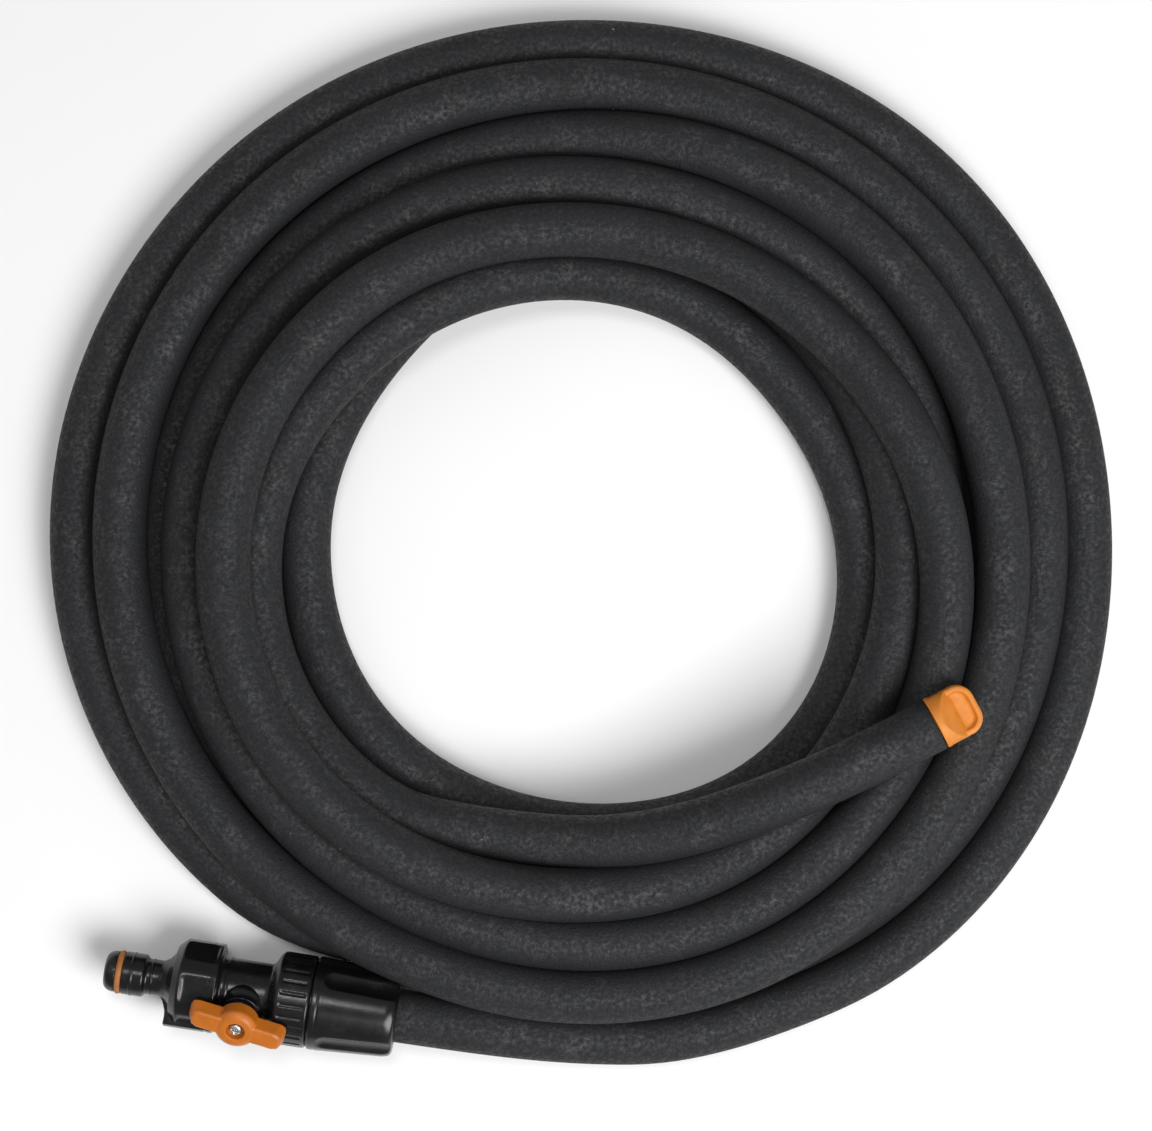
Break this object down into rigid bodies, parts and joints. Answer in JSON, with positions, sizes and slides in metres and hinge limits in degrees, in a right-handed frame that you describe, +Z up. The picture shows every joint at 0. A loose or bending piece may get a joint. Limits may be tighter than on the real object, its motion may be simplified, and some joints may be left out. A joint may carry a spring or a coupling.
{
  "type": "soaker hose",
  "caption": "Porous rubber soaker hose wound in a flat coil, with a ball valve and quick-connect nipple at its inlet and a finger-tab plug in its far end.",
  "frame": {"origin": "on the floor, at the middle of the coil's outline", "axes": "+Z up; the valve lies along +X, turned 9 degrees towards -Y, on the coil's -X -Y side; the coil winds anticlockwise seen from above"},
  "size_m": [0.388, 0.3857, 0.0574],
  "materials": {
    "hose_rubber": "matte, porous, fine-grained",
    "black_plastic": "glossy moulded black",
    "grey_plastic": "satin acetal",
    "white_seal": "waxy white",
    "orange_plastic": "satin moulded orange",
    "plug_plastic": "satin moulded light orange",
    "orange_rubber": "smooth satin",
    "black_rubber": "smooth satin",
    "steel": "bright zinc plate"
  },
  "bodies": {
    "hose": {"valve_body": "black_plastic", "inlet_seat": "white_seal", "outlet_seat": "white_seal", "stem_gland": "black_plastic", "barbed_tail": "grey_plastic", "tail_o_ring": "black_rubber", "hose_lead": "hose_rubber", "hose_coil": "hose_rubber", "hose_tail": "hose_rubber"},
    "valve_handle": {"handle": "orange_plastic", "handle_screw": "steel", "stem": "grey_plastic", "ball": "grey_plastic", "stem_o_ring_lower": "black_rubber", "stem_o_ring_upper": "black_rubber"},
    "adaptor_washer": {"inlet_washer": "black_rubber"},
    "adaptor": {"tap_adaptor": "black_plastic", "nipple_o_ring": "orange_rubber"},
    "collar_grip": {"grip_ring": "white_seal"},
    "collar": {"collar_nut": "black_plastic"},
    "plug": {"end_plug": "plug_plastic"}
  },
  "joints": [
    {"name": "handle_turn", "type": "hinge", "parent": "hose", "child": "valve_handle", "pos_m": [-0.12144, -0.16384, 0.017], "axis": [-0.0758, -0.4788, 0.8746], "range_deg": [-80, 10]},
    {"name": "adaptor_travel", "type": "slide", "parent": "hose", "child": "adaptor_washer", "axis": [-0.9877, 0.1564, 0], "range_m": [0, 0.01]},
    {"name": "adaptor_turn", "type": "hinge", "parent": "adaptor_washer", "child": "adaptor", "pos_m": [-0.16045, -0.15765, 0.017], "axis": [-0.9877, 0.1564, 0], "range_deg": [0, 1980]},
    {"name": "collar_travel", "type": "slide", "parent": "hose", "child": "collar_grip", "axis": [0.9877, -0.1564, 0], "range_m": [0, 0.008]},
    {"name": "collar_turn", "type": "hinge", "parent": "collar_grip", "child": "collar", "pos_m": [-0.08193, -0.17009, 0.017], "axis": [0.9877, -0.1564, 0], "range_deg": [0, 900]},
    {"name": "plug_pull", "type": "slide", "parent": "hose", "child": "plug", "axis": [0.8797, 0.4742, 0.0362], "range_m": [0, 0.016]}
  ],
  "couplings": [
    {"joint": "adaptor_travel", "follows": "adaptor_turn", "m_per_rad": 0.00028871},
    {"joint": "collar_travel", "follows": "collar_turn", "m_per_rad": 0.00047746}
  ]
}
